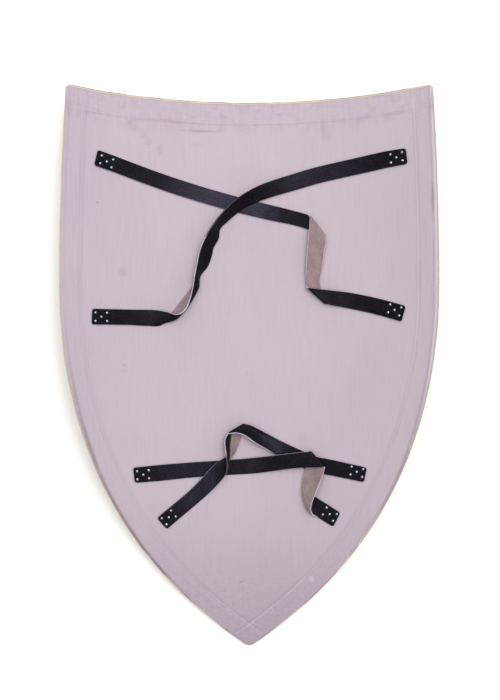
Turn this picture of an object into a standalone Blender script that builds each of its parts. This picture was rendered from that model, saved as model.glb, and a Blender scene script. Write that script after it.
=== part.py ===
"""A curved heater shield, lying on its front with its strapped back up.

The shield is laid out flat first, as its maker would draw it, and then bent. A flat place is
(u, y, lift): u runs across the shield along the bend, y runs from the tip (-) to the top edge (+), and
lift is the height above the back face of the board. bend() turns a flat place into a real one.
All lengths are in metres; the strap routes are written in millimetres.
"""

import math

import bmesh
import bpy
from mathutils import Matrix, Vector

# ---------------------------------------------------------------- driving dimensions
MM = 0.001

BOARD_HALF_WIDTH = 0.2971      # widest half of the flat board, at WIDEST_Y
BOARD_TOP_Y = 0.4283
BOARD_TIP_Y = -0.4310          # where the two lower sides would meet, before the tip is rounded
WIDEST_Y = 0.130
UPPER_SIDE_RADIUS = 4.5        # the sides draw in slightly towards the top corners
TOP_CORNER_RADIUS = 0.005
TIP_RADIUS = 0.014

BEND_RADIUS = 0.430            # inside radius of the bend, on the back face of the board
BOARD_THICKNESS = 0.007
BOARD_RIM_ROUND = 0.002

GAP = 0.0003                   # clearance between pieces that touch
CANVAS_THICKNESS = 0.0008
BAND_WIDTH = 0.030             # canvas turned over onto the back, at the sides
TOP_BAND_WIDTH = 0.034

COLUMNS = 24                   # flat facets across the bend
MIDDLE_FACET_WIDTH = 0.032     # the flat spot that the shield lies on

STRAP_THICKNESS = 0.0025
STRAP_LIE = 1.7                # lift of the middle of a strap that lies on the board, mm
FOLD_FLATNESS = 0.8            # a fold bulges out by this share of its half height
STRAP_CELLS_ACROSS = 3
STRAP_ROWS_PER_STATION = 2
SHORT_SPAN = 0.010             # stations closer than this get no rows between them

NAIL_HEAD_RADIUS = 0.0021
NAIL_HEAD_HEIGHT = 0.0013
NAIL_SHANK_RADIUS = 0.0008
NAIL_DEPTH_IN_BOARD = 0.0048
NAIL_SIDES = 7
NAIL_HOLE_CLEARANCE = 0.0004
NAIL_PATTERN = ((0, 6.2), (0, -6.2), (9.5, 0), (18.5, 6.2), (18.5, -6.2))   # along, across, mm
NAIL_STARTS = {                # distance of the first nails from each end, and their shift across, mm
    "strap_upper_left": ((8.5, 0), (6.5, -2)),
    "strap_upper_right": ((6.5, -0.5), (6, 0)),
    "strap_lower_left": ((5.5, -0.5), (4.5, -1.5)),
    "strap_lower_right": ((5, 0.5), (5, -2)),
}

# ---------------------------------------------------------------- strap routes
# Each station of a strap gives its left edge, its right edge and how far its middle bows out from the
# straight line between them, each as (u, y, lift) in millimetres, seen along the strap's own run.
LIE = STRAP_LIE
LEVEL = (0, 0, 0)
CUPPED = (0, 0, -2.5)


def fold(left, right, rises, arriving, leaving):
    """Stations of a strap that turns back on itself round the line from left to right.

    rises is how much higher each edge leaves than it came, and the strap runs in the direction arriving
    before the fold and leaving after it. The edges slide along the fold as they go round it.
    """
    arriving, leaving = Vector(arriving).normalized(), Vector(leaving).normalized()
    outward = (arriving - leaving) / (arriving - leaving).length
    slide = (arriving + leaving) / (arriving - leaving).length
    stations = []
    for i in range(5):
        angle = math.pi * i / 4
        turn = outward * math.sin(angle) + slide * (angle - math.pi / 2)
        edges = []
        for (u, y, lift), rise in zip((left, right), rises):
            place = Vector((u, y)) + turn * (abs(rise) / 2 * FOLD_FLATNESS)
            edges.append((place.x, place.y, lift + rise / 2 * (1 - math.cos(angle))))
        stations.append((*edges, LEVEL))
    return stations


# From the upper left nails, folded back over itself, down the shield, and folded again to the right.
UPPER_LEFT_ROUTE = (
    ((-241, 338.5, LIE), (-247, 314, LIE), LEVEL),
    ((-205, 330, LIE), (-211, 306, LIE), LEVEL),
    ((-110, 304, LIE), (-116, 280, LIE), LEVEL),
    ((-15, 279, LIE), (-20, 255, LIE), LEVEL),
    ((45, 264, LIE), (39, 241, LIE), LEVEL),
    ((72, 256.5, LIE), (74, 233, LIE), LEVEL),
    *fold((94.5, 247, 3), (119, 215, LIE), (5, 4), (0.94, -0.34), (-0.06, -1)),
    ((97, 231, 12), (122, 205, 5.5), (0, 0, -2)),
    ((95, 212, 13), (120, 195, 4.5), (0, 0, -4)),
    ((92, 176, 12), (116, 168, 3.5), (0, 0, -4)),
    ((90.5, 156, 10), (112, 144, LIE), CUPPED),
    *fold((93.5, 137.5, 7), (121, 112.5, LIE), (5, 5), (0.05, -1), (0.99, -0.15)),
    ((108, 133.5, 10.5), (132, 107, 6), (0, 0, -1)),
    ((134, 130, 6), (148, 104, 4), LEVEL),
    ((163, 126, 2), (162, 101, LIE), LEVEL),
    ((207, 116, LIE), (201, 92, LIE), LEVEL),
    ((249, 104, LIE), (242, 80, LIE), LEVEL),
)

# From the upper right nails, over the first strap, round on its edge and down to the left.
UPPER_RIGHT_ROUTE = (
    ((251, 316, LIE), (248, 340, LIE), LEVEL),
    ((211, 313, LIE), (206, 338, LIE), LEVEL),
    ((118, 300, LIE), (112, 325, LIE), LEVEL),
    ((76, 290, LIE), (69, 314, 5), LEVEL),
    ((38, 280, 3), (29, 301, 11), LEVEL),
    ((12, 271, 5), (2, 288, 18), LEVEL),
    ((-11, 260, 5), (-25, 270, 21), LEVEL),
    ((-37, 239, 5), (-50, 245, 23), LEVEL),
    ((-47, 228, 4), (-59, 233, 23), LEVEL),
    ((-49, 214, 2), (-69, 218, 21), LEVEL),
    ((-57, 199, LIE), (-77, 203, 18), LEVEL),
    ((-60, 186, LIE), (-82, 188, 17), LEVEL),
    ((-66, 170, LIE), (-86, 170, 18), LEVEL),
    ((-75, 159, LIE), (-89, 156, 18), LEVEL),
    ((-88, 141, LIE), (-92, 137, 18), (9, -2, -1)),
    ((-105, 120, LIE), (-97, 117, 17), (8, -3, -2)),
    ((-118, 103, LIE), (-104, 101, 16), (4, -4, -2)),
    ((-128, 91, LIE), (-117, 93, 17), (0, -8, -2)),
    ((-141, 77, LIE), (-133, 97, 11), (0, -3, 1)),
    ((-161, 75, LIE), (-153, 100, 4), LEVEL),
    ((-189, 76, LIE), (-186, 100, LIE), LEVEL),
    ((-251, 76, LIE), (-250, 100, LIE), LEVEL),
)

# From the lower left nails, over the fourth strap, folded under, and curled round to the right.
LOWER_LEFT_ROUTE = (
    ((-185, -142, LIE), (-182, -166, LIE), LEVEL),
    ((-142, -140, LIE), (-138, -165, LIE), LEVEL),
    ((-94, -138, LIE), (-92, -162, LIE), LEVEL),
    ((-28, -135, LIE), (-26, -159, LIE), LEVEL),
    ((5, -132, 3), (7, -157, 2.5), LEVEL),
    ((36, -128, 8), (39, -152, 7), LEVEL),
    ((69, -123, 12), (74, -146.5, 11), LEVEL),
    *fold((97, -122, 12.5), (120, -144.5, 14), (-6, -4), (1, 0.08), (-0.25, -0.97)),
    ((93, -138, 6), (118, -158, 12), (0, 0, -2)),
    ((86, -158, 5), (113.5, -169, 13), (0, 0, -4)),
    ((84, -173, 6), (108.5, -182, 16), (0, 0, -2)),
    ((84, -181, 7), (104, -193, 18), (-2, 0, -1)),
    ((86, -187, 8), (101, -203, 17), (-3, -1, 0)),
    ((88, -190, 7), (100, -211, 15), (-4, -3, 0)),
    ((91, -191, 4), (102, -218, 10), (-4, -4, -1)),
    ((97, -190, LIE), (106, -222, 4), (-2, -2, 0)),
    ((104, -191, LIE), (111, -225, LIE), LEVEL),
    ((113, -196, LIE), (118, -229, LIE), LEVEL),
    ((145, -214, LIE), (133, -237, LIE), LEVEL),
)

# From the lowest left nails, up over the third strap, curled round, and under it to the right.
LOWER_RIGHT_ROUTE = (
    ((-147, -222, LIE), (-131, -241, LIE), LEVEL),
    ((-123, -204, LIE), (-108, -223, LIE), LEVEL),
    ((-94, -181, LIE), (-80, -201, LIE), LEVEL),
    ((-74, -161, 5), (-59, -182, 5), LEVEL),
    ((-57, -143, 6), (-46, -168, 8), LEVEL),
    ((-42, -133, 5.5), (-38, -157, 13), LEVEL),
    ((-34, -130, 5), (-36, -143, 20), LEVEL),
    ((-27, -128, 3), (-38, -128, 23), (3, 0, -1)),
    ((-20, -118, LIE), (-40, -113, 20), (3, 0, -3)),
    ((-14, -103, LIE), (-40, -102, 17), (3, 0, -3)),
    *fold((-8, -81, 2.5), (-34, -93.5, 15), (6, 4), (0.2, 0.98), (0.95, -0.3)),
    ((0, -79.5, 8), (-20, -91.5, 18.5), (0, 0, -2)),
    ((9, -83, 7), (-7, -96, 17), (0, 0, -4)),
    ((25, -91.5, 4), (11, -108.5, 14), (0, 0, -4)),
    ((44, -102, LIE), (31, -120, 9), CUPPED),
    ((62, -110.5, LIE), (52, -133, LIE), LEVEL),
    ((83, -119.5, LIE), (76, -143.5, LIE), LEVEL),
    ((102, -127.5, LIE), (97, -152, LIE), LEVEL),
    ((128, -132, LIE), (123, -156.5, LIE), LEVEL),
    ((187, -142, LIE), (182, -165, LIE), LEVEL),
)

STRAP_ROUTES = {
    "strap_upper_left": UPPER_LEFT_ROUTE,
    "strap_upper_right": UPPER_RIGHT_ROUTE,
    "strap_lower_left": LOWER_LEFT_ROUTE,
    "strap_lower_right": LOWER_RIGHT_ROUTE,
}

# ---------------------------------------------------------------- worked out from the above
SHEATH = GAP + CANVAS_THICKNESS                        # how far the canvas stands out from the board
AXIS_HEIGHT = BEND_RADIUS + BOARD_THICKNESS + SHEATH   # the bend's axis above the ground


# ---------------------------------------------------------------- materials
def material(name, colour, roughness, metallic=0.0):
    made = bpy.data.materials.new(name)
    made.use_nodes = True
    shader = made.node_tree.nodes["Principled BSDF"]
    shader.inputs["Base Color"].default_value = (*colour, 1.0)
    shader.inputs["Roughness"].default_value = roughness
    shader.inputs["Metallic"].default_value = metallic
    return made


# ---------------------------------------------------------------- bending
def column_lines():
    """Places across the flat shield where one facet of the bend meets the next."""
    reach = BOARD_HALF_WIDTH + 2 * SHEATH
    side_columns = (COLUMNS - 1) // 2
    step = (reach - MIDDLE_FACET_WIDTH / 2) / side_columns
    right = [MIDDLE_FACET_WIDTH / 2 + step * i for i in range(side_columns + 1)]
    return [-u for u in reversed(right)] + right


LINES = column_lines()


def on_arc(u, y, lift):
    angle = u / BEND_RADIUS
    radius = BEND_RADIUS - lift
    return Vector((radius * math.sin(angle), y, AXIS_HEIGHT - radius * math.cos(angle)))


def bend(u, y, lift):
    """The real place of a flat one, on the facet that it falls in."""
    column = 0
    while column < len(LINES) - 2 and u > LINES[column + 1]:
        column += 1
    start, end = LINES[column], LINES[column + 1]
    share = (u - start) / (end - start)
    return on_arc(start, y, lift).lerp(on_arc(end, y, lift), share)


def bend_mesh(bm):
    """Cut a flat mesh along the column lines, then bend it. Its vertices hold (u, y, lift)."""
    for line in LINES[1:-1]:
        bmesh.ops.bisect_plane(
            bm, geom=bm.verts[:] + bm.edges[:] + bm.faces[:],
            plane_co=(line, 0, 0), plane_no=(1, 0, 0), dist=1e-6,
        )
    for vert in bm.verts:
        vert.co = bend(*vert.co)


# ---------------------------------------------------------------- the outline
def arc_between(centre, radius, start_angle, end_angle, count):
    """count + 1 points on an arc, both ends included."""
    angles = [start_angle + (end_angle - start_angle) * i / count for i in range(count + 1)]
    return [Vector((centre[0] + radius * math.cos(a), centre[1] + radius * math.sin(a))) for a in angles]


def fillet(corner, towards_a, towards_b, radius, count):
    """Points that round a corner between two straight directions, from side a to side b."""
    half = towards_a.angle(towards_b) / 2
    centre = corner + (towards_a + towards_b).normalized() * (radius / math.sin(half))
    start = corner + towards_a * (radius / math.tan(half)) - centre
    end = corner + towards_b * (radius / math.tan(half)) - centre
    start_angle = math.atan2(start.y, start.x)
    turn = end.angle_signed(start)
    return arc_between(centre, radius, start_angle, start_angle + turn, count)


def half_outline(side_inset, top_inset, corner_radius, tip_radius):
    """The right half of the outline, from the top corner round to the tip, drawn in by an inset."""
    lower_radius = ((WIDEST_Y - BOARD_TIP_Y) ** 2 + BOARD_HALF_WIDTH ** 2) / (2 * BOARD_HALF_WIDTH)
    upper_centre = (BOARD_HALF_WIDTH - UPPER_SIDE_RADIUS, WIDEST_Y)
    lower_centre = (BOARD_HALF_WIDTH - lower_radius, WIDEST_Y)
    upper = UPPER_SIDE_RADIUS - side_inset
    lower = lower_radius - side_inset

    top_y = BOARD_TOP_Y - top_inset
    top_angle = math.asin((top_y - WIDEST_Y) / upper)
    corner = Vector((upper_centre[0] + upper * math.cos(top_angle), top_y))
    down_the_side = Vector((math.sin(top_angle), -math.cos(top_angle)))
    top_corner = fillet(corner, Vector((-1, 0)), down_the_side, corner_radius, 3)

    tip_angle = math.acos(-lower_centre[0] / lower)
    tip = Vector((0, WIDEST_Y - lower * math.sin(tip_angle)))
    up_the_right = Vector((math.sin(tip_angle), math.cos(tip_angle)))
    up_the_left = Vector((-up_the_right.x, up_the_right.y))
    tip_round = fillet(tip, up_the_right, up_the_left, tip_radius, 4)[:3]

    start_angle = math.asin((top_corner[-1].y - WIDEST_Y) / upper)
    end_angle = math.asin((tip_round[0].y - WIDEST_Y) / lower)
    upper_side = arc_between(upper_centre, upper, start_angle, 0.0, 4)[1:]
    lower_side = arc_between(lower_centre, lower, 0.0, end_angle, 14)[1:-1]
    return top_corner + upper_side + lower_side + tip_round


def outline(side_inset=0.0, top_inset=None, corner_radius=TOP_CORNER_RADIUS, tip_radius=TIP_RADIUS):
    """A closed loop of (u, y) points, clockwise from the right top corner."""
    if top_inset is None:
        top_inset = side_inset
    right = half_outline(side_inset, top_inset, corner_radius, tip_radius)
    left = [Vector((-p.x, p.y)) for p in reversed(right[:-1])]
    return right + left


def outer_loop(outset):
    return outline(-outset, None, TOP_CORNER_RADIUS + outset, TIP_RADIUS + outset)


# ---------------------------------------------------------------- the board and its canvas
def add_loop(bm, points, lift):
    return [bm.verts.new((p.x, p.y, lift)) for p in points]


def join_loops(bm, first, second):
    count = len(first)
    for i in range(count):
        j = (i + 1) % count
        bm.faces.new((first[i], first[j], second[j], second[i]))


def rim_levels(outset, steps):
    """(outset, lift) pairs round the rim, from the back face to the front, at a distance from the board."""
    radius = BOARD_RIM_ROUND + outset
    levels = []
    for back, height in ((True, -BOARD_RIM_ROUND), (False, BOARD_RIM_ROUND - BOARD_THICKNESS)):
        for i in range(steps + 1):
            angle = math.pi / 2 * (i if back else steps - i) / steps
            out = -BOARD_RIM_ROUND + radius * math.sin(angle)
            rise = radius * math.cos(angle)
            levels.append((out, height + rise if back else height - rise))
    return levels


def mesh_object(name, bm, look):
    bmesh.ops.recalc_face_normals(bm, faces=bm.faces[:])
    mesh = bpy.data.meshes.new(name)
    bm.to_mesh(mesh)
    bm.free()
    made = bpy.data.objects.new(name, mesh)
    bpy.context.scene.collection.objects.link(made)
    mesh.materials.append(look)
    return made


def make_board(look):
    bm = bmesh.new()
    loops = [add_loop(bm, outer_loop(out), lift) for out, lift in rim_levels(0.0, 1)]
    for first, second in zip(loops, loops[1:]):
        join_loops(bm, first, second)
    bm.faces.new(loops[0])
    bm.faces.new(loops[-1])
    bend_mesh(bm)
    return mesh_object("board", bm, look)


def make_canvas(look):
    """Canvas over the whole front, round the rim and turned over onto the back as a band."""
    bm = bmesh.new()
    outside = [add_loop(bm, outer_loop(out), lift) for out, lift in rim_levels(SHEATH, 2)]
    inside = [add_loop(bm, outer_loop(out), lift) for out, lift in rim_levels(GAP, 1)]
    window = outline(BAND_WIDTH, TOP_BAND_WIDTH, 0.003, 0.004)
    window_top = add_loop(bm, window, SHEATH)
    window_foot = add_loop(bm, window, GAP)
    for first, second in zip(outside, outside[1:]):
        join_loops(bm, first, second)
    for first, second in zip(inside, inside[1:]):
        join_loops(bm, first, second)
    join_loops(bm, outside[0], window_top)
    join_loops(bm, window_top, window_foot)
    join_loops(bm, window_foot, inside[0])
    bm.faces.new(outside[-1])
    bm.faces.new(inside[-1])
    bend_mesh(bm)
    return mesh_object("canvas_cover", bm, look)


# ---------------------------------------------------------------- straps
def spline(before, start, end, after, share):
    """A smooth curve through start and end, whose ends follow their neighbours."""
    span = (end - start).length
    lead_in = (end - before) * (span / max((end - before).length, 1e-9))
    lead_out = (after - start) * (span / max((after - start).length, 1e-9))
    s2, s3 = share * share, share * share * share
    return (start * (2 * s3 - 3 * s2 + 1) + lead_in * (s3 - 2 * s2 + share)
            + end * (3 * s2 - 2 * s3) + lead_out * (s3 - s2))


def strap_rows(route, rows_per_station, cells):
    """Rows of flat places across the middle surface of a strap."""
    tracks = [[Vector(station[k]) * MM for station in route] for k in range(3)]
    rows = []
    last = len(route) - 1
    for i in range(last):
        count = rows_per_station
        if max((t[i + 1] - t[i]).length for t in tracks) < SHORT_SPAN:
            count = 1
        for j in range(count):
            share = j / count
            left, right, bow = (
                spline(t[max(i - 1, 0)], t[i], t[i + 1], t[min(i + 2, last)], share) for t in tracks
            )
            rows.append(strap_row(left, right, bow, cells))
    rows.append(strap_row(*(t[last] for t in tracks), cells))
    return rows


def strap_row(left, right, bow, cells):
    row = []
    for k in range(cells + 1):
        v = k / cells
        place = left.lerp(right, v) + bow * (4 * v * (1 - v))
        row.append(on_arc(place.x, place.y, max(place.z, STRAP_LIE * MM)))
    return row


def surface_normals(rows):
    last_row, last_cell = len(rows) - 1, len(rows[0]) - 1
    normals = []
    for i in range(last_row + 1):
        ahead, behind = rows[min(i + 1, last_row)], rows[max(i - 1, 0)]
        line = []
        for k in range(last_cell + 1):
            along = ahead[k] - behind[k]
            across = rows[i][min(k + 1, last_cell)] - rows[i][max(k - 1, 0)]
            line.append(across.cross(along).normalized())
        normals.append(line)
    return normals


def make_strap(name, route, look):
    rows = strap_rows(route, STRAP_ROWS_PER_STATION, STRAP_CELLS_ACROSS)
    normals = surface_normals(rows)
    bm = bmesh.new()
    sections = []
    for row, line in zip(rows, normals):
        top = [bm.verts.new(p + n * (STRAP_THICKNESS / 2)) for p, n in zip(row, line)]
        under = [bm.verts.new(p - n * (STRAP_THICKNESS / 2)) for p, n in zip(row, line)]
        sections.append(top + under[::-1])
    for first, second in zip(sections, sections[1:]):
        join_loops(bm, first, second)
    bm.faces.new(sections[0])
    bm.faces.new(sections[-1])
    made = mesh_object(name, bm, look)
    made.data.shade_smooth()
    made.data.set_sharp_from_angle(angle=math.radians(40))
    return made


# ---------------------------------------------------------------- nails
def nail_frames(route, starts):
    """The place of each nail of a strap's two ends: a matrix on the board, its +Z up the nail."""
    frames = []
    for end, inner, start in ((route[0], route[1], starts[0]), (route[-1], route[-2], starts[1])):
        left, right = Vector(end[0][:2]), Vector(end[1][:2])
        middle = (left + right) / 2
        along = ((Vector(inner[0][:2]) + Vector(inner[1][:2])) / 2 - middle).normalized()
        across = Vector((-along.y, along.x))
        for distance, aside in NAIL_PATTERN:
            flat = (middle + along * (start[0] + distance) + across * (start[1] + aside)) * MM
            foot = bend(flat.x, flat.y, 0.0)
            up = (bend(flat.x, flat.y, 0.01) - foot).normalized()
            frames.append(Matrix.Translation(foot) @ up.to_track_quat("Z", "Y").to_matrix().to_4x4())
    return frames


def turned_solid(profile, sides):
    """A closed round solid from (radius, height) pairs; a radius of 0 closes an end."""
    bm = bmesh.new()
    rings = []
    for radius, height in profile:
        if radius == 0:
            rings.append([bm.verts.new((0, 0, height))])
            continue
        angles = [2 * math.pi * i / sides for i in range(sides)]
        rings.append([bm.verts.new((radius * math.cos(a), radius * math.sin(a), height)) for a in angles])
    for first, second in zip(rings, rings[1:]):
        for i in range(sides):
            j = (i + 1) % sides
            corners = [first[i % len(first)], first[j % len(first)], second[j % len(second)],
                       second[i % len(second)]]
            bm.faces.new(list(dict.fromkeys(corners)))
    bmesh.ops.recalc_face_normals(bm, faces=bm.faces[:])
    return bm


def nail_mesh(look):
    under_head = (STRAP_LIE * MM) + STRAP_THICKNESS / 2 + GAP
    bm = turned_solid((
        (0, -NAIL_DEPTH_IN_BOARD),
        (NAIL_SHANK_RADIUS, 0.001 - NAIL_DEPTH_IN_BOARD),
        (NAIL_SHANK_RADIUS, under_head),
        (NAIL_HEAD_RADIUS, under_head),
        (NAIL_HEAD_RADIUS * 0.75, under_head + NAIL_HEAD_HEIGHT * 0.7),
        (0, under_head + NAIL_HEAD_HEIGHT),
    ), NAIL_SIDES)
    mesh = bpy.data.meshes.new("nail")
    bm.to_mesh(mesh)
    bm.free()
    mesh.materials.append(look)
    mesh.shade_smooth()
    mesh.set_sharp_from_angle(angle=math.radians(50))
    return mesh


def cut_nail_holes(target, frames):
    """Holes for the nails, through a strap or part of the way into the board."""
    radius = NAIL_SHANK_RADIUS + NAIL_HOLE_CLEARANCE
    depth = NAIL_DEPTH_IN_BOARD + GAP
    joined = bmesh.new()
    for frame in frames:
        single = turned_solid(((0, -depth), (radius, -depth), (radius, 0.006), (0, 0.006)), 6)
        single.transform(frame)
        scratch = bpy.data.meshes.new("scratch")
        single.to_mesh(scratch)
        single.free()
        joined.from_mesh(scratch)
        bpy.data.meshes.remove(scratch)
    cutter_mesh = bpy.data.meshes.new(target.name + "_holes")
    joined.to_mesh(cutter_mesh)
    joined.free()
    cutter = bpy.data.objects.new(target.name + "_holes", cutter_mesh)
    bpy.context.scene.collection.objects.link(cutter)
    cutter.hide_render = True
    cutter.display_type = "WIRE"
    cut = target.modifiers.new("nail holes", "BOOLEAN")
    cut.operation = "DIFFERENCE"
    cut.solver = "EXACT"
    cut.object = cutter


# ---------------------------------------------------------------- assembly
def main():
    for thing in list(bpy.data.objects):
        bpy.data.objects.remove(thing, do_unlink=True)

    painted_wood = material("painted_wood", (0.62, 0.54, 0.60), 0.75)
    canvas = material("canvas", (0.66, 0.57, 0.43), 0.90)
    leather = material("leather", (0.014, 0.012, 0.015), 0.45)
    steel = material("steel", (0.62, 0.64, 0.68), 0.30, 1.0)

    board = make_board(painted_wood)
    make_canvas(canvas)
    nail = nail_mesh(steel)
    every_frame = []
    for name, route in STRAP_ROUTES.items():
        strap = make_strap(name, route, leather)
        frames = nail_frames(route, NAIL_STARTS[name])
        cut_nail_holes(strap, frames)
        for i, frame in enumerate(frames, start=1):
            head = bpy.data.objects.new("nail_" + name[6:] + "_" + str(i).zfill(2), nail)
            bpy.context.scene.collection.objects.link(head)
            head.matrix_world = frame
        every_frame += frames
    cut_nail_holes(board, every_frame)


main()
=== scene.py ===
"""The looks of a curved heater shield that lies on its front with its strapped back up.

The shield is drawn flat and then bent, as in the part's own source. A flat place is (u, y, lift): u runs
across the shield along the bend, y from the tip (-) to the top edge (+), and lift is the height above the
back face of the board. Lengths are in metres, but those of strap routes, nail places and stains in mm.
"""

import math

import bmesh
import bpy
from mathutils import Matrix, Vector, noise
from mathutils.geometry import delaunay_2d_cdt


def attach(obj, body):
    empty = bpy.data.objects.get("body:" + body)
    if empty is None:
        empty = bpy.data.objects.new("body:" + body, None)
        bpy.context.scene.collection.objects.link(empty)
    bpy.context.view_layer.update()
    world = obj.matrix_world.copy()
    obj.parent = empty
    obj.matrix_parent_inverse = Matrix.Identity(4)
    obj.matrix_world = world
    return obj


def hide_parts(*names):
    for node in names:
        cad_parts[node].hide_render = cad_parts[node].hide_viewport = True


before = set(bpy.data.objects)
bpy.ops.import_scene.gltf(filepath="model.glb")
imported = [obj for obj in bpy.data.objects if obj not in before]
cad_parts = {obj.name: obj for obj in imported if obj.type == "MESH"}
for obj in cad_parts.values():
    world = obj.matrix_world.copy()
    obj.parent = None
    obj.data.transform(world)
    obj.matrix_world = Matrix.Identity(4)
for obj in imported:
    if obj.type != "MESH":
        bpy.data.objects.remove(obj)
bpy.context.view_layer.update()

# ---------------- driving dimensions, as in the part
MM = 0.001
BOARD_HALF_WIDTH = 0.2971      # widest half of the flat board, at WIDEST_Y
BOARD_TOP_Y = 0.4283
BOARD_TIP_Y = -0.4310          # where the two lower sides would meet, before the tip is rounded
WIDEST_Y = 0.130
UPPER_SIDE_RADIUS = 4.5        # the sides draw in slightly towards the top corners
TOP_CORNER_RADIUS = 0.005
TIP_RADIUS = 0.014

BEND_RADIUS = 0.430            # inside radius of the bend, on the back face of the board
BOARD_THICKNESS = 0.007
BOARD_RIM_ROUND = 0.002
GAP = 0.0003                   # clearance between pieces that touch
CANVAS_THICKNESS = 0.0008
BAND_WIDTH = 0.030             # canvas turned over onto the back, at the sides
TOP_BAND_WIDTH = 0.034
WINDOW_CORNER_RADIUS = 0.003   # corners of the part of the board that the band leaves open
WINDOW_TIP_RADIUS = 0.004

STRAP_WIDTH = 0.025
STRAP_THICKNESS = 0.0025
STRAP_LIE = 1.7                # lift of the middle of a strap that lies on the board, mm
FOLD_FLATNESS = 0.8            # a fold bulges out by this share of its half height
NAIL_HEAD_RADIUS = 0.0021
NAIL_HEAD_HEIGHT = 0.0013
NAIL_SHANK_RADIUS = 0.0008
NAIL_SHANK_LENGTH = 0.004
NAIL_PATTERN = ((0, 6.2), (0, -6.2), (9.5, 0), (18.5, 6.2), (18.5, -6.2))   # along, across, mm
NAIL_STARTS = {                # distance of the first nails from each end, and their shift across, mm
    "strap_upper_left": ((8.5, 0), (6.5, -2)),
    "strap_upper_right": ((6.5, -0.5), (6, 0)),
    "strap_lower_left": ((5.5, -0.5), (4.5, -1.5)),
    "strap_lower_right": ((5, 0.5), (5, -2)),
}

# ---------------- fineness of the meshes
SURFACE_CELL = 0.006           # grid on the board and on the canvas
GRID_CLEARANCE = 0.7           # of a cell, between the grid and the rim
TOP_EDGE_STEPS = 44            # in half the top edge
TOP_CORNER_STEPS = 8
UPPER_SIDE_STEPS = 48
LOWER_SIDE_STEPS = 110
TIP_STEPS = 16
BAND_STEPS = 12                # across the turned-over band
ROW_SPACING = 0.0022           # between rows along a strap
CORNER_ROWS = 6                # round the corners of a strap's cut ends
CELLS_ACROSS = 14              # across a strap
NAIL_SIDES = 20
NAIL_DOME_STEPS = 6

# ---------------- low relief
WEAVE_PITCH = 0.0011
BAND_EDGE = (1.0, 0.92, 0.62, 0.22)    # the paint evens out the step at the inner edge of the band
RIM_WAVES = 0.0014             # the canvas stands out or draws in by this share, at the rim
RIM_FADE = 0.004               # width of the run from the rim to the even band
RELIEF_ABOVE = 0.0002          # only canvas with more lift than this, the band, has relief
BAND_WAVES = 0.00016
BAND_RIPPLES = 0.00010
OVERLAP_HEIGHT = 0.0005        # at the tip, where one side's band lies over the other's
OVERLAP_REACH = 0.004          # the upper band lies this much past the lower one
OVERLAP_SLOPE = 0.003
END_CORNER = 0.004             # radius of the corners of a strap's cut ends
DIMPLE_DEPTH = 0.0004          # how far a nail presses the leather round it down
DIMPLE_RADIUS = 0.0035
DIMPLE_REACH = 0.009
LYING_BELOW = 0.004            # a strap whose lift is less than this lies on the board
NAIL_SINK = 0.0003             # the foot of a head lies this far below the top of a flat strap
NAIL_DENTS = 0.06              # a head's outline is uneven by this share
NAIL_TURN = 1.3                # radians from one nail of a strap to the next

# ---------------- strap routes, as in the part
# Each station of a strap gives its left edge, its right edge and how far its middle bows out from the
# straight line between them, each as (u, y, lift) in millimetres, seen along the strap's own run.
LIE = STRAP_LIE
LEVEL = (0, 0, 0)
CUPPED = (0, 0, -2.5)


def fold(left, right, rises, arriving, leaving):
    """Stations of a strap that turns back on itself round the line from left to right.

    rises is how much higher each edge leaves than it came, and the strap runs in the direction arriving
    before the fold and leaving after it. The edges slide along the fold as they go round it.
    """
    arriving, leaving = Vector(arriving).normalized(), Vector(leaving).normalized()
    outward = (arriving - leaving) / (arriving - leaving).length
    slide = (arriving + leaving) / (arriving - leaving).length
    stations = []
    for i in range(5):
        angle = math.pi * i / 4
        turn = outward * math.sin(angle) + slide * (angle - math.pi / 2)
        edges = []
        for (u, y, lift), rise in zip((left, right), rises):
            place = Vector((u, y)) + turn * (abs(rise) / 2 * FOLD_FLATNESS)
            edges.append((place.x, place.y, lift + rise / 2 * (1 - math.cos(angle))))
        stations.append((*edges, LEVEL))
    return stations


# From the upper left nails, folded back over itself, down the shield, and folded again to the right.
UPPER_LEFT_ROUTE = (
    ((-241, 338.5, LIE), (-247, 314, LIE), LEVEL),
    ((-205, 330, LIE), (-211, 306, LIE), LEVEL),
    ((-110, 304, LIE), (-116, 280, LIE), LEVEL),
    ((-15, 279, LIE), (-20, 255, LIE), LEVEL),
    ((45, 264, LIE), (39, 241, LIE), LEVEL),
    ((72, 256.5, LIE), (74, 233, LIE), LEVEL),
    *fold((94.5, 247, 3), (119, 215, LIE), (5, 4), (0.94, -0.34), (-0.06, -1)),
    ((97, 231, 12), (122, 205, 5.5), (0, 0, -2)),
    ((95, 212, 13), (120, 195, 4.5), (0, 0, -4)),
    ((92, 176, 12), (116, 168, 3.5), (0, 0, -4)),
    ((90.5, 156, 10), (112, 144, LIE), CUPPED),
    *fold((93.5, 137.5, 7), (121, 112.5, LIE), (5, 5), (0.05, -1), (0.99, -0.15)),
    ((108, 133.5, 10.5), (132, 107, 6), (0, 0, -1)),
    ((134, 130, 6), (148, 104, 4), LEVEL),
    ((163, 126, 2), (162, 101, LIE), LEVEL),
    ((207, 116, LIE), (201, 92, LIE), LEVEL),
    ((249, 104, LIE), (242, 80, LIE), LEVEL),
)

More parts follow.
